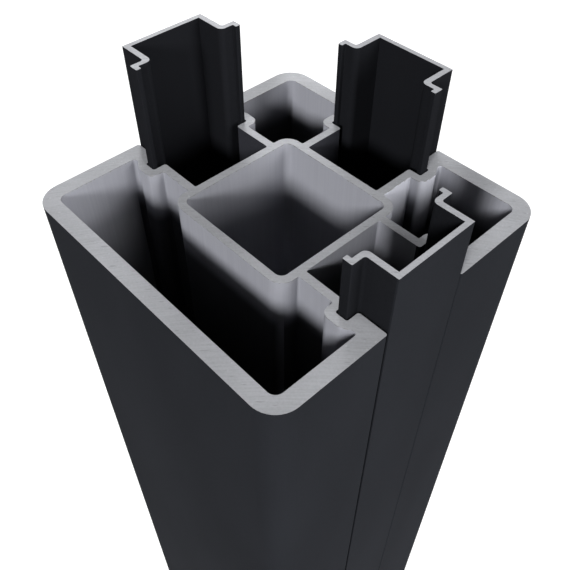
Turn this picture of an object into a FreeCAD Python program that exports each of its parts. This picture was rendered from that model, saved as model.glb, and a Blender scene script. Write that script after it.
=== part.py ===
import FreeCAD, Part
import math
import os
import Sketcher

# A square slot post for a fence, extruded in one piece, with three cover strips.
# Millimetres. Z runs up the post, and the origin is the middle of its foot.
# The plain side faces -Y. The other three sides carry one groove each.

Vector = FreeCAD.Vector
UP = Vector(0, 0, 1)
ORIGIN_POINT = (-1, 1)
# A sketch counts the start of a line or arc as its first point, and the end as its second.
START, END = range(1, 3)
GROOVE_ANGLES = (0, 90, 180)

# Driving dimensions of the post and its strips.
DIMENSIONS = {
    "post_length": 1000.0,
    "post_side": 80.0,
    "post_corner_radius": 6.0,
    "outer_wall": 4.0,
    "chamber_corner_radius": 2.0,
    "tube_bore": 32.0,
    "tube_wall": 2.0,
    "tube_bore_radius": 1.8,
    "tube_corner_radius": 3.8,
    "groove_width": 22.0,
    "web_wall": 2.0,
    "web_foot_radius": 0.4,
    "web_corner_radius": 0.5,
    "throat_width": 22.3,
    "lip_depth": 7.4,
    "lip_block": 4.0,
    "lip_block_depth": 5.3,
    "lip_radius": 0.6,
    "lip_edge_radius": 0.5,
    "lip_foot_radius": 0.8,
    "notch_width": 28.8,
    "notch_depth": 3.2,
    "notch_radius": 0.5,
    "notch_wall": 2.15,
    "notch_floor": 1.9,
    "notch_slope": 2.3,
    "notch_bend_radius": 2.1,
    "slope_radius": 1.5,
    "strip_web": 1.2,
    "strip_leg": 1.4,
    "strip_flange": 1.25,
    "strip_side_gap": 0.45,
    "strip_lip_gap": 0.4,
    "strip_notch_gap": 0.3,
    "strip_foot_gap": 0.4,
    "strip_bend_radius": 1.4,
    "strip_hook_radius": 0.7,
    "strip_edge_radius": 0.25,
    "right_strip_raise": 14.8,
    "back_strip_raise": 21.4,
    "left_strip_raise": 25.5,
}


class Size:
    """A length with the formula, in the sheet's names, that it comes from."""

    def __init__(self, value, formula):
        self.value = value
        self.formula = formula

    def __add__(self, other):
        return Size(self.value + other.value, f"({self.formula} + {other.formula})")

    def __sub__(self, other):
        return Size(self.value - other.value, f"({self.formula} - {other.formula})")

    def __neg__(self):
        return Size(-self.value, f"(-{self.formula})")

    def __truediv__(self, number):
        return Size(self.value / number, f"({self.formula} / {number})")


def make_sheet(doc):
    """Writes the driving dimensions into a spreadsheet, one named cell each."""
    sheet = doc.addObject("Spreadsheet::Sheet", "Sizes")
    for row, (name, value) in enumerate(DIMENSIONS.items(), start=1):
        sheet.set(f"A{row}", name)
        sheet.set(f"B{row}", str(value))
        sheet.setAlias(f"B{row}", name)
    doc.recompute()
    return sheet


doc = FreeCAD.newDocument("FencePost")
sheet = make_sheet(doc)


def size(name):
    return Size(float(sheet.get(name)), f"Sizes.{name}")


def origin_feature(body, role):
    """Finds one of the body's own planes or axes."""
    for feature in body.Origin.OriginFeatures:
        if feature.Role == role:
            return feature
    raise ValueError(role)


def add_sketch(body, name):
    """Adds a sketch that lies in the body's own horizontal plane."""
    sketch = body.newObject("Sketcher::SketchObject", name)
    sketch.AttachmentSupport = [(origin_feature(body, "XY_Plane"), "")]
    sketch.MapMode = "FlatFace"
    return sketch


def corner_arc(before, corner, after, radius):
    """Works out the round at a corner: its arc, and where the two runs end."""
    back = (before - corner).normalize()
    ahead = (after - corner).normalize()
    half_angle = back.getAngle(ahead) / 2
    entry = corner + back * (radius / math.tan(half_angle))
    leave = corner + ahead * (radius / math.tan(half_angle))
    centre = corner + (back + ahead).normalize() * (radius / math.sin(half_angle))
    turns_left = back.cross(ahead).z < 0
    first, last = (entry, leave) if turns_left else (leave, entry)
    first_angle = math.atan2(first.y - centre.y, first.x - centre.x)
    last_angle = math.atan2(last.y - centre.y, last.x - centre.x)
    if last_angle < first_angle:
        last_angle += 2 * math.pi
    arc = Part.ArcOfCircle(Part.Circle(centre, UP, radius), first_angle, last_angle)
    return arc, entry, leave, turns_left


def draw_outline(sketch, corners):
    """Draws a closed outline through corners (x, y, radius), each held by the sheet."""
    count = len(corners)
    points = [Vector(x.value, y.value, 0) for x, y, _ in corners]
    rounds = {}
    entries = list(points)
    leaves = list(points)
    for i, (_, _, radius) in enumerate(corners):
        if radius is not None:
            shape = corner_arc(points[i - 1], points[i], points[(i + 1) % count], radius.value)
            rounds[i] = shape
            entries[i] = shape[1]
            leaves[i] = shape[2]
    runs = [
        sketch.addGeometry(Part.LineSegment(leaves[i - 1], entries[i]), False)
        for i in range(count)
    ]
    for i, (x, y, radius) in enumerate(corners):
        incoming = runs[i]
        outgoing = runs[(i + 1) % count]
        if radius is None:
            sketch.addConstraint(Sketcher.Constraint("Coincident", incoming, END, outgoing, START))
            hold_point(sketch, incoming, END, x, y)
            continue
        arc, _, _, turns_left = rounds[i]
        bend = sketch.addGeometry(arc, False)
        mark = sketch.addGeometry(Part.Point(points[i]), True)
        first, last = (START, END) if turns_left else (END, START)
        hold_point(sketch, mark, START, x, y)
        sketch.addConstraint(Sketcher.Constraint("PointOnObject", mark, START, incoming))
        sketch.addConstraint(Sketcher.Constraint("PointOnObject", mark, START, outgoing))
        sketch.addConstraint(Sketcher.Constraint("Tangent", incoming, END, bend, first))
        sketch.addConstraint(Sketcher.Constraint("Tangent", bend, last, outgoing, START))
        index = sketch.addConstraint(Sketcher.Constraint("Radius", bend, radius.value))
        sketch.setExpression(f"Constraints[{index}]", radius.formula)


def hold_point(sketch, geometry, end, x, y):
    """Ties a point's distances from the origin to the sheet."""
    for kind, length in (("DistanceX", x), ("DistanceY", y)):
        link = Sketcher.Constraint(kind, *ORIGIN_POINT, geometry, end, length.value)
        index = sketch.addConstraint(link)
        sketch.setExpression(f"Constraints[{index}]", length.formula)


def square_corners(half, radius):
    """A square about the origin, counter-clockwise."""
    return [(half, -half, radius), (half, half, radius), (-half, half, radius), (-half, -half, radius)]


def mirrored(half_outline):
    """Closes an outline that is given for positive Y, with its mirror image."""
    other_half = [(x, -y, radius) for x, y, radius in reversed(half_outline)]
    return half_outline + other_half


def pad(body, sketch, name, length):
    feature = body.newObject("PartDesign::Pad", name)
    feature.Profile = sketch
    feature.setExpression("Length", length.formula)
    return feature


def cut_through(body, sketch, name):
    """Cuts the sketch out of the body over its whole length."""
    feature = body.newObject("PartDesign::Pocket", name)
    feature.Profile = sketch
    feature.Type = "ThroughAll"
    feature.Reversed = True
    return feature


def round_upright_edges(body, name, x, y, radius):
    """Rounds the vertical edges at (x, y) and (x, -y) of the groove on +X, and of the other two."""
    places = [Vector(x.value, side * y.value, 0) for side in (-1, 1)]
    turned = [FreeCAD.Rotation(UP, angle).multVec(place) for angle in GROOVE_ANGLES for place in places]
    doc.recompute()
    before = body.Tip
    edges = []
    for number, edge in enumerate(before.Shape.Edges, start=1):
        foot, top = edge.Vertexes[0].Point, edge.Vertexes[-1].Point
        upright = abs(foot.z - top.z) > 1
        if upright and any(math.hypot(foot.x - p.x, foot.y - p.y) < 0.01 for p in turned):
            edges.append(f"Edge{number}")
    fillet = body.newObject("PartDesign::Fillet", name)
    fillet.Base = (before, edges)
    fillet.setExpression("Radius", radius.formula)
    body.Tip = fillet


post_length = size("post_length")
post_side = size("post_side")
face = post_side / 2
tube_half = size("tube_bore") / 2 + size("tube_wall")
groove_half = size("groove_width") / 2
throat_half = size("throat_width") / 2
notch_half = size("notch_width") / 2
notch_top = face - size("lip_depth")
notch_bottom = notch_top - size("notch_depth")


def groove_housing():
    """The walls round a groove, on its chamber side, from the outer wall to the tube."""
    inside_wall = face - size("outer_wall") / 2
    inside_tube = tube_half - size("tube_wall") / 2
    block_half = throat_half + size("lip_block")
    block_end = face - size("lip_block_depth")
    bulge_half = notch_half + size("notch_wall")
    bulge_start = block_end - size("notch_slope")
    bulge_end = notch_bottom - size("notch_floor")
    web_half = groove_half + size("web_wall")
    slope_radius = size("slope_radius")
    return mirrored([
        (inside_wall, block_half, None),
        (block_end, block_half, slope_radius),
        (bulge_start, bulge_half, slope_radius),
        (bulge_end, bulge_half, size("notch_bend_radius")),
        (bulge_end, web_half, size("web_foot_radius")),
        (inside_tube, web_half, None),
    ])


def groove_space():
    """The open groove: its throat between the lips, the notches behind them, and its channel."""
    outside = face + size("outer_wall")
    notch_radius = size("notch_radius")
    lip_radius = size("lip_radius")
    return mirrored([
        (outside, throat_half, None),
        (notch_top, throat_half, lip_radius),
        (notch_top, notch_half, notch_radius),
        (notch_bottom, notch_half, notch_radius),
        (notch_bottom, groove_half, lip_radius),
        (tube_half, groove_half, size("web_corner_radius")),
    ])


def make_post():
    """The extruded post: outer wall, tube, three grooves and the tube's bore."""
    body = doc.addObject("PartDesign::Body", "Post")
    body.Label = "post"
    outer_sketch = add_sketch(body, "OuterOutline")
    draw_outline(outer_sketch, square_corners(face, size("post_corner_radius")))
    pad(body, outer_sketch, "OuterBlock", post_length)
    hollow_sketch = add_sketch(body, "HollowOutline")
    hollow_half = face - size("outer_wall")
    draw_outline(hollow_sketch, square_corners(hollow_half, size("chamber_corner_radius")))
    cut_through(body, hollow_sketch, "Hollow")
    tube_sketch = add_sketch(body, "TubeOutline")
    draw_outline(tube_sketch, square_corners(tube_half, size("tube_corner_radius")))
    pad(body, tube_sketch, "Tube", post_length)
    bore_sketch = add_sketch(body, "BoreOutline")
    draw_outline(bore_sketch, square_corners(size("tube_bore") / 2, size("tube_bore_radius")))
    cut_through(body, bore_sketch, "Bore")
    housing_sketch = add_sketch(body, "HousingOutline")
    draw_outline(housing_sketch, groove_housing())
    housing = pad(body, housing_sketch, "Housing", post_length)
    groove_sketch = add_sketch(body, "GrooveOutline")
    draw_outline(groove_sketch, groove_space())
    groove = cut_through(body, groove_sketch, "Groove")
    pattern = body.newObject("PartDesign::PolarPattern", "ThreeGrooves")
    pattern.Originals = [housing, groove]
    pattern.Axis = (origin_feature(body, "Z_Axis"), [""])
    pattern.Angle = GROOVE_ANGLES[-1]
    pattern.Occurrences = len(GROOVE_ANGLES)
    body.Tip = pattern
    inner_face = face - size("outer_wall")
    block_half = throat_half + size("lip_block")
    web_half = groove_half + size("web_wall")
    round_upright_edges(body, "LipEdges", face, throat_half, size("lip_edge_radius"))
    round_upright_edges(body, "LipFeet", inner_face, block_half, size("lip_foot_radius"))
    round_upright_edges(body, "WebFeet", tube_half, web_half, size("web_corner_radius"))
    return body


def strip_outline():
    """The section of a cover strip: a flat web, two legs, and a foot hooked into each notch."""
    flange = size("strip_flange")
    leg_half = throat_half - size("strip_side_gap")
    leg_inside = leg_half - size("strip_leg")
    flange_top = notch_top - size("strip_lip_gap")
    flange_half = notch_half - size("strip_notch_gap")
    foot_end = notch_bottom + size("strip_foot_gap")
    edge = size("strip_edge_radius")
    return mirrored([
        (face, leg_half, None),
        (flange_top, leg_half, size("strip_hook_radius")),
        (flange_top, flange_half, edge),
        (foot_end, flange_half, edge),
        (foot_end, flange_half - flange, edge),
        (flange_top - flange, flange_half - flange, edge),
        (flange_top - flange, leg_inside, size("strip_bend_radius")),
        (face - size("strip_web"), leg_inside, None),
    ])


def make_strip(side, angle):
    """One cover strip, turned to its side of the post and drawn up as far as it stands."""
    body = doc.addObject("PartDesign::Body", f"{side.capitalize()}Strip")
    body.Label = f"{side}_cover_strip"
    sketch = add_sketch(body, f"{side.capitalize()}StripOutline")
    draw_outline(sketch, strip_outline())
    pad(body, sketch, f"{side.capitalize()}StripLength", post_length)
    raised = size(f"{side}_strip_raise")
    body.Placement = FreeCAD.Placement(Vector(0, 0, raised.value), FreeCAD.Rotation(UP, angle))
    body.setExpression("Placement.Base.z", raised.formula)
    return body


def check_objects():
    """Stops if any object failed, or if a piece is not one sound solid."""
    for item in doc.Objects:
        if "Invalid" in item.State or "Error" in item.State:
            raise RuntimeError(f"{item.Label} failed")
    for piece in pieces:
        shape = piece.Shape
        if shape.isNull() or not shape.isValid() or len(shape.Solids) != 1:
            raise RuntimeError(f"{piece.Label} is not one sound solid")


pieces = [make_post()]
for side, angle in zip(("right", "back", "left"), GROOVE_ANGLES):
    pieces.append(make_strip(side, angle))
doc.recompute()
check_objects()

os.makedirs("parts", exist_ok=True)
for piece in pieces:
    piece.Shape.exportStep(f"parts/{piece.Label}.step")
    box = piece.Shape.BoundBox
    area = piece.Shape.Volume / post_length.value
    print(piece.Label, [round(v, 2) for v in (box.XMin, box.YMin, box.ZMin, box.XMax, box.YMax, box.ZMax)],
          "section", round(area, 1), "mm2")
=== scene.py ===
# %% [markdown]
# # A slot fence post and its three cover strips
# The real object is an aluminium post for a fence. It comes out of a press as one long
# section, is coated dark grey, and is then sawn to length. Three of its sides have a groove
# for the fence boards, and a thin strip closes each groove. The four pieces were already
# drawn as solids, so Blender adds what a solid can't say: what each surface is made of.
#
# The solids are loaded first. They stay where they are, and every finish below goes onto
# them. The section could be drawn again in Blender, but a second drawing only adds a chance
# that the two don't agree.

# %% Load the frame
from math import cos, radians, sin

import bpy
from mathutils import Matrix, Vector


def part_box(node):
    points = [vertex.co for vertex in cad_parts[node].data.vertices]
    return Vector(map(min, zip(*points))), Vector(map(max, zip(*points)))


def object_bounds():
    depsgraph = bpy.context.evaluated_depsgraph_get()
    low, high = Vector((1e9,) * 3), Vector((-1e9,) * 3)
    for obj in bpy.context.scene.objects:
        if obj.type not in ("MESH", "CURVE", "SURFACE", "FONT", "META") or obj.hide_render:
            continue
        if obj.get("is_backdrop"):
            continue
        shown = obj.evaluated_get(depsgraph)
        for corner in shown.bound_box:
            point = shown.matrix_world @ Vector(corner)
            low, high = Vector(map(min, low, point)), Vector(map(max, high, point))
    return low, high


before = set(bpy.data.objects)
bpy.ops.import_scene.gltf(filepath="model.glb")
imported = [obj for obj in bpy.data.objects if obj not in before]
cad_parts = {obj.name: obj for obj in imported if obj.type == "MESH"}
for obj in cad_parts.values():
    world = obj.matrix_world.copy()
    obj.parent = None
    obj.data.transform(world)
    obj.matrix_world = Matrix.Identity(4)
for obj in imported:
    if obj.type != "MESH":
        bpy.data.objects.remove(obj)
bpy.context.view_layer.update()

MM_PER_METRE = 1000.0

for name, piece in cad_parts.items():
    low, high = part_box(name)
    print(name, "is", [round(MM_PER_METRE * length) for length in high - low], "mm,",
          len(piece.data.polygons), "faces")

# %% [markdown]
# ## The camera
# The photograph looks down on the sawn top of the post. The post's edges meet in three
# vanishing points, and these give the lens and the tilt. The pixels of known corners then
# give the place. Another way is to move the camera by eye until the edges agree, but a
# wrong lens can hide behind a wrong distance, so the worked-out values were chosen.

# %% Camera
CAMERA_PLACE = (0.08458, -0.07899, 1.10143)
CAMERA_TILT = radians(42.0)
CAMERA_TURN = radians(46.95)
SENSOR_WIDTH = 36.0
LENS = 43.5
NEAREST = 0.005

camera = bpy.data.objects.new("photo_camera", bpy.data.cameras.new("photo_camera"))
camera.location = CAMERA_PLACE
camera.rotation_euler = (CAMERA_TILT, 0, CAMERA_TURN)
camera.data.sensor_width = SENSOR_WIDTH
camera.data.lens = LENS
camera.data.clip_start = NEAREST
bpy.context.scene.collection.objects.link(camera)
bpy.context.scene.camera = camera
bpy.context.scene.view_settings.view_transform = "Standard"

# %% [markdown]
# ## Sums with sockets
# A finish is a chain of small nodes: where am I on the piece, which part of it is this, how
# rough is it here. Linking them by hand is slow to write and to read. This small class
# wraps the output of a node, so that Python's own signs add the Math nodes. Every other
# kind of node comes from its one method, node().

# %% The wire class
class Wire:
    """The output of a shader node, which sums can use as they use a number."""

    def __init__(self, tree, socket=None):
        self.tree = tree
        self.socket = socket

    def node(self, kind, settings=None, sockets=None, output=0):
        """Adds a node: first its settings, then its sockets. Gives back one output."""
        made = self.tree.nodes.new(kind)
        for name, value in (settings or {}).items():
            setattr(made, name, value)
        for name, value in (sockets or {}).items():
            if isinstance(value, Wire):
                self.tree.links.new(value.socket, made.inputs[name])
            else:
                made.inputs[name].default_value = value
        return Wire(self.tree, made.outputs[output])

    def output(self, name):
        """Another output of the same node."""
        return Wire(self.tree, self.socket.node.outputs[name])

    def math(self, operation, *values):
        """Adds a Math node for these values."""
        return self.node("ShaderNodeMath", {"operation": operation}, dict(enumerate(values)))

    def __add__(self, other):
        return self.math("ADD", self, other)

    __radd__ = __add__

    def __rsub__(self, other):
        return self.math("SUBTRACT", other, self)

    def __mul__(self, other):
        return self.math("MULTIPLY", self, other)

    __rmul__ = __mul__

    def __lt__(self, other):
        return self.math("LESS_THAN", self, other)

    def __gt__(self, other):
        return self.math("GREATER_THAN", self, other)

    def __abs__(self):
        return self.math("ABSOLUTE", self)

    def either(self, other):
        """The larger of two values: for masks, on where one of them is on."""
        return self.math("MAXIMUM", self, other)

    def between(self, low, high):
        """Rises softly from 0 at low to 1 at high."""
        return self.node("ShaderNodeMapRange", {"interpolation_type": "SMOOTHSTEP"},
                         {"Value": self, "From Min": low, "From Max": high})

    def pick(self, where_off, where_on):
        """A colour that goes from one to the other as this value goes from 0 to 1."""
        return self.node("ShaderNodeMix", {"data_type": "RGBA"},
                         {0: self, 6: where_off, 7: where_on}, output=2)


def grey(level, tint=(1.0, 1.0, 1.0)):
    """A colour of this brightness, leaning to the tint."""
    return (*(level * share for share in tint), 1.0)


print("half grey is", grey(0.5))

# %% [markdown]
# ## Three first questions
# Every finish below asks the same things. Where on the piece is this point? The object's
# own coordinates answer that, and they ride along when a strip slides. Who is looking? A
# floor or a sky may be white for the camera and still be a weak lamp, and the Light Path
# node tells the two apart. And which tree do the new nodes go into?

# %% Tree helpers
def ray_kinds(start):
    """Two masks: the camera's own rays, and those of mirror-like and clear surfaces."""
    direct = start.node("ShaderNodeLightPath", output="Is Camera Ray")
    mirrored = direct.output("Is Glossy Ray").either(direct.output("Is Transmission Ray"))
    return direct, mirrored


def millimetres(start):
    """The place on the piece, as one vector and along X, Y and Z, in millimetres."""
    place = start.node("ShaderNodeTexCoord", output="Object")
    in_mm = place.node("ShaderNodeVectorMath", {"operation": "SCALE"},
                       {0: place, "Scale": MM_PER_METRE})
    along_x = in_mm.node("ShaderNodeSeparateXYZ", sockets={0: in_mm}, output="X")
    return in_mm, along_x, along_x.output("Y"), along_x.output("Z")


def new_tree(name):
    """Makes a material, and gives it with its tree's first wire and its one shader."""
    material = bpy.data.materials.new(name)
    material.use_nodes = True
    shader = material.node_tree.nodes["Principled BSDF"]
    return material, Wire(material.node_tree), shader


print("one metre is", MM_PER_METRE, "units for the finishes")

# %% [markdown]
# ## Floor
# The photograph has a plain white ground. A white that comes from strong lamps would also
# wash out the post. So a part of the floor's brightness is its own glow, which only the
# camera and mirror-like rays see, and the light that falls on the post stays low. The rest
# is paint, so the floor still takes the post's shadow. The glow stops under the post, or
# the hollow chambers would shine from below.

# %% Floor
POST_HALF = 40.0
FLOOR_GLOW = 0.45
FLOOR_PAINT = 0.8
FLOOR_ROUGHNESS = 0.9
FLOOR_REACH = 30.0

floor_paint, start, shader = new_tree("pale_floor")
_, x, y, _ = millimetres(start)
direct, mirrored = ray_kinds(start)
beside_post = abs(x).either(abs(y)) > POST_HALF
glow = direct.either(mirrored) * beside_post * FLOOR_GLOW
start.tree.links.new(glow.pick(grey(0.0), grey(1.0)).socket, shader.inputs["Emission Color"])
shader.inputs["Emission Strength"].default_value = 1.0
shader.inputs["Base Color"].default_value = grey(FLOOR_PAINT)
shader.inputs["Roughness"].default_value = FLOOR_ROUGHNESS
shader.inputs["Specular IOR Level"].default_value = 0.0

corners = [(FLOOR_REACH * along_x, FLOOR_REACH * along_y, 0)
           for along_x, along_y in ((-1, -1), (1, -1), (1, 1), (-1, 1))]
floor_mesh = bpy.data.meshes.new("studio_floor")
floor_mesh.from_pydata(corners, [], [(0, 1, 2, 3)])
floor_mesh.materials.append(floor_paint)
floor = bpy.data.objects.new("studio_floor", floor_mesh)
bpy.context.scene.collection.objects.link(floor)
floor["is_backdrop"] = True
print("floor:", 2 * FLOOR_REACH, "m wide, with a glow of", FLOOR_GLOW)

# %% [markdown]
# ## Surroundings
# The world stands for the walls of the studio. The camera sees it white, like the floor.
# As a lamp it is very weak: in the photograph the chambers are black a finger's width below
# the cut, and light from all sides would fill them. What a mirror-like surface sees of it
# is white at the horizon and greyer overhead, as a ceiling is. The near part of the sawn
# end mirrors that ceiling, so it is darker than the far part. A picture of a real studio
# would do this too, but it would have to be carried along with the script.

# %% Surroundings
SKY_LIGHT = 0.07
CEILING_SHADE = 0.8
CEILING_START = 0.4
CEILING_FULL = 0.9

world = bpy.data.worlds.new("studio")
bpy.context.scene.world = world
world.use_nodes = True
start = Wire(world.node_tree)
upwards = start.node("ShaderNodeTexCoord", output="Generated")
height = upwards.node("ShaderNodeSeparateXYZ", sockets={0: upwards}, output="Z")
ceiling = CEILING_SHADE * height.between(CEILING_START, CEILING_FULL)
direct, mirrored = ray_kinds(start)
level = SKY_LIGHT + (1 - SKY_LIGHT) * direct.either(mirrored * (1 - ceiling))
background = world.node_tree.nodes["Background"]
background.inputs["Color"].default_value = grey(1.0)
world.node_tree.links.new(level.socket, background.inputs["Strength"])
print("sky light on the post:", SKY_LIGHT)

# %% [markdown]
# ## Lamps
# The shadows inside the tube and the chambers tell where the light stood. One lamp stands
# in front of the plain side, a little to the right and low, about 20 degrees up: its light
# reaches only a finger's width into the openings. A second, much wider one stands low on
# the right, because the walls that look that way fade slowly. A third stands lower still,
# behind on the left. It lights no wall that the photograph shows, and the sawn ends only a
# little, but without it the post would be a black shape from behind. A lamp straight above
# lightens the sawn ends and not the walls.
#
# Sun lamps were chosen, because their light is the same at the top and the foot of a post
# that is a metre long. An area lamp would fade from one end to the other.

# %% Lamps
def add_sun(name, towards, strength, width):
    """A lamp so far off that its light is parallel, with soft shadows of this width."""
    light = bpy.data.lights.new(name, "SUN")
    light.energy = strength
    light.angle = radians(width)
    lamp = bpy.data.objects.new(name, light)
    lamp.rotation_euler = Vector(towards).to_track_quat("Z", "Y").to_euler()
    bpy.context.scene.collection.objects.link(lamp)
    print(name, "at", strength, "W/m2,", width, "degrees wide")


add_sun("front_lamp", towards=(0.35, -0.85, 0.342), strength=3.0, width=13)
add_sun("right_lamp", towards=(1.0, 0.2, 0.25), strength=2.8, width=32)
add_sun("rear_lamp", towards=(-0.78, 0.6, 0.13), strength=3.7, width=25)
add_sun("top_lamp", towards=(0.0, 0.0, 1.0), strength=0.6, width=3)

# %% [markdown]
# ## Grain
# Nothing on the object is one even colour. A noise texture is the usual way to vary a
# surface. Each direction gets its own grain size in millimetres: long along Z for the lines
# that the press leaves, and even for a sprayed coat. The noise seldom comes near 0 or 1, so
# its usual range is stretched before it picks a colour. An image of real metal would show
# more, but it ties the finish to one size, and noise stays sharp at any distance.

# %% Grain helpers
NOISE_LOW = 0.3
NOISE_HIGH = 0.7


def grain(place, size, detail=2.0):
    """Random values about 0.5 that change over the given millimetres along X, Y and Z."""
    steps = tuple(1.0 / length for length in size)
    point = place.node("ShaderNodeVectorMath", {"operation": "MULTIPLY"}, {0: place, 1: steps})
    return point.node("ShaderNodeTexNoise",
                      sockets={"Vector": point, "Scale": 1.0, "Detail": detail})


def mottle(shade, level, tint, spread):
    """A colour that is darker or lighter by this share where the noise says so."""
    dark = grey((1 - spread) * level, tint)
    light = grey((1 + spread) * level, tint)
    return shade.between(NOISE_LOW, NOISE_HIGH).pick(dark, light)


print("noise from", NOISE_LOW, "to", NOISE_HIGH, "spans a finish from dark to light")

# %% [markdown]
# ## Sawn ends
# A round blade leaves faint arcs, about a third of a millimetre apart. Rings round the
# blade's middle give them: the distance to that middle goes in one direction of the noise,
# and the run along the arc in the other, much longer one. Broad soft clouds and fine
# specks stand for the uneven shine of freshly cut metal. The highest peaks of two more
# noises are cut off: one gives short dark nicks along the arcs, where a chip was dragged
# over the face, and the other tiny bright spots, where a burr catches the light. Marks as
# fine as these could be cut into the mesh only with a great many more faces, and a colour
# shows them as well.

# %% Sawn metal
BLADE_RADIUS = 225.0
BLADE_TURN = radians(47.0)
BLADE_MIDDLE = (BLADE_RADIUS * sin(BLADE_TURN), -BLADE_RADIUS * cos(BLADE_TURN), 0.0)
SAWN_TINT = (0.97, 0.985, 1.04)
SAWN_SPREAD = 0.13
ARC_GRAIN = (0.35, 9.0, 1.0)
ARC_SHARE = 0.4
CLOUD_GRAIN = (14.0, 14.0, 14.0)
CLOUD_SHARE = 0.35
SPECK_GRAIN = (0.45, 0.45, 0.45)
SPECK_SHARE = 0.25
NICK_GRAIN = (0.5, 2.6, 1.0)
NICK_PEAKS = (0.66, 0.74)
NICK_SHADE = 0.8
SPOT_GRAIN = (0.8, 0.8, 0.8)
SPOT_PEAKS = (0.74, 0.8)
SPOT_SHINE = 1.15


def blade_path(place, x, y):
    """The place on a sawn end, across and along the arcs of the blade."""
    flat = place.node("ShaderNodeVectorMath", {"operation": "MULTIPLY"}, {0: place, 1: (1, 1, 0)})
    reach = flat.node("ShaderNodeVectorMath", {"operation": "DISTANCE"},
                      {0: flat, 1: BLADE_MIDDLE}, "Value")
    along = cos(BLADE_TURN) * x + sin(BLADE_TURN) * y
    return reach.node("ShaderNodeCombineXYZ", sockets={"X": reach, "Y": along})


def sawn_metal(place, x, y, level):
    """The colour and the height of a sawn end of this brightness."""
    arcs = blade_path(place, x, y)
    marks = grain(arcs, ARC_GRAIN, detail=3.0)
    clouds = grain(place, CLOUD_GRAIN, detail=1.0)
    specks = grain(place, SPECK_GRAIN)
    shade = ARC_SHARE * marks + CLOUD_SHARE * clouds + SPECK_SHARE * specks
    colour = mottle(shade, level, SAWN_TINT, SAWN_SPREAD)
    nicks = grain(arcs, NICK_GRAIN, detail=1.0).between(*NICK_PEAKS)
    colour = nicks.pick(colour, grey(NICK_SHADE * level, SAWN_TINT))
    spots = grain(place, SPOT_GRAIN, detail=0.0).between(*SPOT_PEAKS)
    return spots.pick(colour, grey(SPOT_SHINE * level, SAWN_TINT)), marks


print("saw arcs:", BLADE_RADIUS, "mm radius,", ARC_GRAIN[0], "mm apart")

# %% [markdown]
# ## Bare metal inside
# The closed chambers and the tube get no coat. Their walls keep the dull, slightly violet
# grey of pressed aluminium, with long faint lines along Z from the mouth of the press. One
# even grey would be simpler, but it looks like plastic.
#
# Deeper inside, the walls get painted shade or painted light. Two helpers do that: one
# gives the share that is left at a depth below the cut, and the other applies it to a colour.

# %% Bare metal
BARE_TINT = (0.96, 0.973, 1.08)
BARE_SPREAD = 0.04
PRESS_GRAIN = (0.6, 0.6, 60.0)
PRESS_SHARE = 0.6
WALL_GRAIN = (9.0, 9.0, 25.0)


def bare_metal(place, level):
    """The colour and the height of uncoated walls of this brightness."""
    lines = grain(place, PRESS_GRAIN, detail=3.0)
    shade = PRESS_SHARE * lines + (1 - PRESS_SHARE) * grain(place, WALL_GRAIN)
    return mottle(shade, level, BARE_TINT, BARE_SPREAD), lines


def painted_depth_shading(depth, start, full, share):
    """The share of a wall's brightness under painted shade or light: 1 down to start, share from
    full on.
    """
    return 1 - (1 - share) * depth.between(start, full)


def scaled(colour, share):
    """The colour, with its brightness times this share."""
    return colour.node("ShaderNodeVectorMath", {"operation": "SCALE"}, {0: colour, "Scale": share})


print("press lines:", PRESS_GRAIN[0], "mm apart,", PRESS_GRAIN[2], "mm long")

# %% [markdown]
# ## Dark coat
# The coat is a powder that was baked on: anthracite and matt, with the soft dimples that
# such a coat always has. Fine grain makes the powder, and larger clouds keep the long faces
# from looking printed. The dimples go to the bump alone, because they have no colour, and
# they are so shallow that real ones in the mesh would look the same.

# %% Dark coat
COAT = (0.0143, 0.0154, 0.0184)
COAT_SPREAD = 0.12
POWDER_GRAIN = (0.35, 0.35, 0.35)
POWDER_SHARE = 0.5
FACE_GRAIN = (22.0, 22.0, 60.0)
DIMPLE_GRAIN = (1.3, 1.3, 1.3)


def dark_coat(place, colour=COAT):
    """The colour and the height of the powder coat."""
    powder = grain(place, POWDER_GRAIN)
    shade = POWDER_SHARE * powder + (1 - POWDER_SHARE) * grain(place, FACE_GRAIN)
    return mottle(shade, 1.0, colour, COAT_SPREAD), grain(place, DIMPLE_GRAIN, detail=1.0)


print("coat:", COAT, "with dimples of", DIMPLE_GRAIN[0], "mm")

# %% [markdown]
# ## Which surface is which
# The finishes have to change along edges of the section. Splitting the mesh into several
# materials would do it too, but the mesh belongs to the frame. The post's drawing gives the
# places instead: the coat covers the outside and the open grooves, and the closed chambers
# lie behind walls of 2 mm. A mask in millimetres falls inside those walls, so its edge
# shows nowhere but on the sawn ends, and these have a mask of their own: they are the only
# faces that look along Z.

# %% Masks
OUTER_COAT = 37.5
CHANNEL_SIDE = 12.0
CHANNEL_START = 17.0
NOTCH_SIDE = 15.4
NOTCH_START = 28.5
NOTCH_END = 33.1
MOSTLY_UPRIGHT = 0.5


def open_groove(out, side):
    """1 inside a groove that opens in the direction of out, with its two side notches."""
    channel = (side < CHANNEL_SIDE) * (out > CHANNEL_START)
    notches = (side < NOTCH_SIDE) * (out > NOTCH_START) * (out < NOTCH_END)
    return channel.either(notches)


def direction(start, axis):
    """How far a face looks along this axis of the piece: 1 along it, -1 against it."""
    normal = start.node("ShaderNodeTexCoord", output="Normal")
    return normal.node("ShaderNodeSeparateXYZ", sockets={0: normal}, output=axis)


def sawn_end(start):
    """1 on the faces that look up or down."""
    return abs(direction(start, "Z")) > MOSTLY_UPRIGHT


print("grooves:", 2 * CHANNEL_SIDE, "mm wide, and", 2 * NOTCH_SIDE, "mm at the notches")

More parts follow.
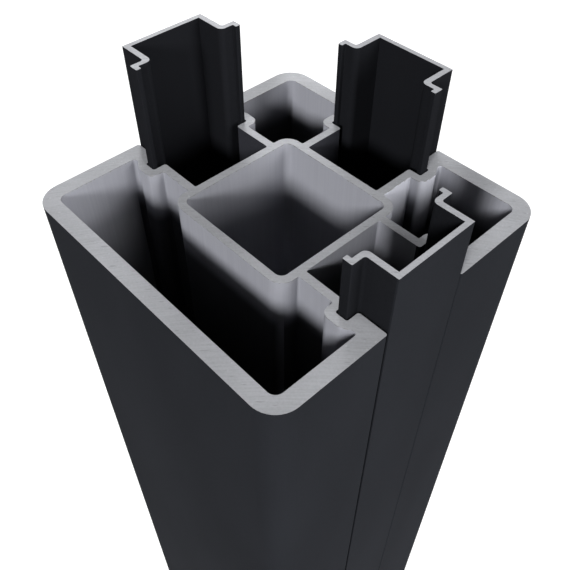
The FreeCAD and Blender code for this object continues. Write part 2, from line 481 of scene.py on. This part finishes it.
# %% [markdown]
# ## One shader for a piece
# Each piece gets one shader, and the masks choose its colour, its roughness and how
# metallic it is. Mixing whole shaders would do as well, but one is lighter, and other
# programs can read it. Sawn metal is a little metallic: enough for its gloss to show, not
# enough to turn it into a mirror. The coat mirrors very little, so the specular level is
# low, and it is the same for all surfaces, because it is set on the shader itself.

# %% Shader helper
COAT_ROUGHNESS = 0.85
METAL_ROUGHNESS = 0.45
MIRROR_LEVEL = 0.012
BUMP_DEPTH = 0.00002


def finish_shader(wire, shader, colour, metal, gloss, height):
    """Links the colour, the metal mask, the metallic value and the bump to the shader."""
    roughness = COAT_ROUGHNESS - (COAT_ROUGHNESS - METAL_ROUGHNESS) * metal
    bump = wire.node("ShaderNodeBump", sockets={"Height": height, "Distance": BUMP_DEPTH})
    for socket, value in (("Base Color", colour), ("Roughness", roughness),
                          ("Metallic", gloss), ("Normal", bump)):
        wire.tree.links.new(value.socket, shader.inputs[socket])
    shader.inputs["Specular IOR Level"].default_value = MIRROR_LEVEL


def dress(name, material):
    """Puts the material on a piece of the frame."""
    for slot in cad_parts[name].material_slots:
        slot.material = material
    print(name, "wears", material.name)


print("roughness:", COAT_ROUGHNESS, "for the coat,", METAL_ROUGHNESS, "for the metal")

# %% [markdown]
# ## Inside the post
# The closed chambers are black from a finger's width below the cut. Weak light alone would
# leave them grey, so their colour gets darker with depth as well: painted shade. The photograph
# gives the walls different painted fades, so each chamber's walls are told apart by where they
# look, softly where a rounded corner joins two of them. In the back chambers, the walls
# that stand in a strip's shade get their painted shade first, and the web beside the right
# strip is painted palest: painted light. In the front chamber, the wall that looks to the right
# keeps more of its brightness under the painted shade. In the photograph the tube in the middle
# stays the same dark grey all the way down, so its colour is painted paler where less light
# reaches it: painted light. The edge of the tube's mask lies in its wall, between the bore and
# the rounded corners outside. Black paint inside would be simpler, but it would darken the
# bright rims too.
#
# Just under the cut, the saw leaves a ragged fringe of burrs. A faint broken line of
# painted shadow under them runs along the walls.

# %% Chamber walls
TUBE_SIDE = 16.4
WEB_SIDE = 12.0
LOOKS_RIGHT = (0.3, 0.8)
POST_LENGTH = 1000.0
BARE_LEVEL = 0.33
# the fades below are painted shade by depth; the web's and the tube's are painted light
CHAMBER_PAINTED_SHADE = (9.0, 15.0, 0.2)
STRIP_PAINTED_SHADOW = (2.0, 13.0, 0.1)
LEFT_WALL_PAINTED_SHADE = (9.0, 15.0, 0.7)
TUBE_PAINTED_LIGHT = (18.0, 42.0, 1.75)
WEB_PAINTED_LIGHT = 1.4
WEB_PAINTED_SHADE = (11.0, 18.0, 0.1)
BURR_GRAIN = (0.9, 0.9, 40.0)
BURR_TEETH = (0.4, 0.65)
BURR_HEIGHT = 0.3
# painted shadow under the burrs
BURR_PAINTED_SHADOW = 0.75

post_finish, start, post_shader = new_tree("post_finish")
place, x, y, z = millimetres(start)
below_cut = z.math("MINIMUM", z, POST_LENGTH - z)

looks_right = direction(start, "X").between(*LOOKS_RIGHT)
back_left = (y > TUBE_SIDE) * (x < -WEB_SIDE)
back_right = (y > TUBE_SIDE) * (x > WEB_SIDE)
in_shade = back_left * looks_right + back_right * (1 - looks_right)
front_left = (y < -TUBE_SIDE) * looks_right
tube = abs(x).either(abs(y)) < TUBE_SIDE

# each wall's own painted shade or painted light, by depth below the cut
own_painted_shading = ((in_shade, painted_depth_shading(below_cut, *STRIP_PAINTED_SHADOW)),
             (back_right * looks_right, WEB_PAINTED_LIGHT * painted_depth_shading(below_cut, *WEB_PAINTED_SHADE)),
             (front_left, painted_depth_shading(below_cut, *LEFT_WALL_PAINTED_SHADE)),
             (tube, painted_depth_shading(below_cut, *TUBE_PAINTED_LIGHT)))
brightness = painted_depth_shading(below_cut, *CHAMBER_PAINTED_SHADE)
for wall, own_painted_level in own_painted_shading:
    brightness = wall * own_painted_level + (1 - wall) * brightness
even_colour, bare_height = bare_metal(place, BARE_LEVEL)
bare_colour_painted_shading = scaled(even_colour, brightness)

# the broken dark line under the burrs is a painted shadow
burr = BURR_HEIGHT * grain(place, BURR_GRAIN).between(*BURR_TEETH) > below_cut
bare_colour_painted_shading = burr.pick(bare_colour_painted_shading, grey(BURR_PAINTED_SHADOW * BARE_LEVEL))
print("chambers: dark from", CHAMBER_PAINTED_SHADE[0], "to", CHAMBER_PAINTED_SHADE[1], "mm below the cut")

# %% [markdown]
# ## The post's coat
# The coat in the three grooves is painted paler than the outside: painted light, as less
# light reaches them. In the right-hand groove the walls are bare metal at the cut, painted
# darker further down: painted shade. Each surface gets a mask, and the colours are
# picked one after the other, from the outside to the inside.

# %% Post
SAWN_LEVEL = 0.425
SAWN_GLOSS = 0.17
# painted light: the grooves' coat is paler than the outside
GROOVE_COAT_PAINTED_LIGHT = (0.032, 0.033, 0.040)
THIN_COAT_LEVEL = 0.36
# painted shade: the right groove's metal darkens with depth
THIN_COAT_PAINTED_SHADE = (0.0, 12.0, 0.45)

sawn = sawn_end(start)
outer = abs(x).either(abs(y)) > OUTER_COAT
grooves = open_groove(abs(x), abs(y)).either(open_groove(y, abs(x)))
coated = outer.either(grooves)
right_groove = (abs(y) < CHANNEL_SIDE) * (x > CHANNEL_START) * (x < NOTCH_START)

outer_colour, coat_height = dark_coat(place)
groove_painted_light_colour, _ = dark_coat(place, GROOVE_COAT_PAINTED_LIGHT)
metal_colour, _ = bare_metal(place, THIN_COAT_LEVEL)
# the right groove's bare metal, painted darker with depth
thin_painted_shade_colour = scaled(metal_colour, painted_depth_shading(below_cut, *THIN_COAT_PAINTED_SHADE))
sawn_colour, sawn_height = sawn_metal(place, x, y, SAWN_LEVEL)

coat_colour = outer.pick(groove_painted_light_colour, outer_colour)
coat_colour = right_groove.pick(coat_colour, thin_painted_shade_colour)
wall_colour = coated.pick(bare_colour_painted_shading, coat_colour)
bare = (1 - coated) * (1 - sawn)
height = sawn * sawn_height + bare * bare_height + coated * (1 - sawn) * coat_height
finish_shader(start, post_shader, sawn.pick(wall_colour, sawn_colour),
              metal=bare.either(sawn), gloss=SAWN_GLOSS * sawn, height=height)
dress("post", post_finish)

# %% [markdown]
# ## The strips' finish
# A strip is coated all over and then sawn, so it is dark everywhere but at its two ends.
# The coat on its hidden side, the legs and the feet is painted darker than on the face that
# closes the groove: painted shade. The post's helpers make both, with other values.

# %% Cover strips
STRIP_GLOSS = 0.08
STRIP_FACE = 39.6
# painted shade: a darker copy of the coat for the strip's hidden sides
STRIP_INSIDE_PAINTED_SHADE = (0.0100, 0.0105, 0.0125)

strip_finish, start, strip_shader = new_tree("strip_finish")
place, x, y, _ = millimetres(start)
sawn = sawn_end(start)
face = abs(x).either(abs(y)) > STRIP_FACE
face_colour, coat_height = dark_coat(place)
inside_painted_shade_colour, _ = dark_coat(place, STRIP_INSIDE_PAINTED_SHADE)
sawn_colour, sawn_height = sawn_metal(place, x, y, SAWN_LEVEL)
coat_colour = face.pick(inside_painted_shade_colour, face_colour)
height = sawn * sawn_height + (1 - sawn) * coat_height
finish_shader(start, strip_shader, sawn.pick(coat_colour, sawn_colour),
              metal=sawn, gloss=STRIP_GLOSS * sawn, height=height)
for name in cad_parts:
    if name.endswith("_cover_strip"):
        dress(name, strip_finish)

# %% [markdown]
# ## Sizes
# Dressing a piece must not change its size. The size of each solid is written when it is
# loaded, and here the size of the box round all the dressed pieces.

# %% Finish
dressed_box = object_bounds()
dressed_size = dressed_box[1] - dressed_box[0]
print("dressed size:", [round(MM_PER_METRE * length, 1) for length in dressed_size], "mm")
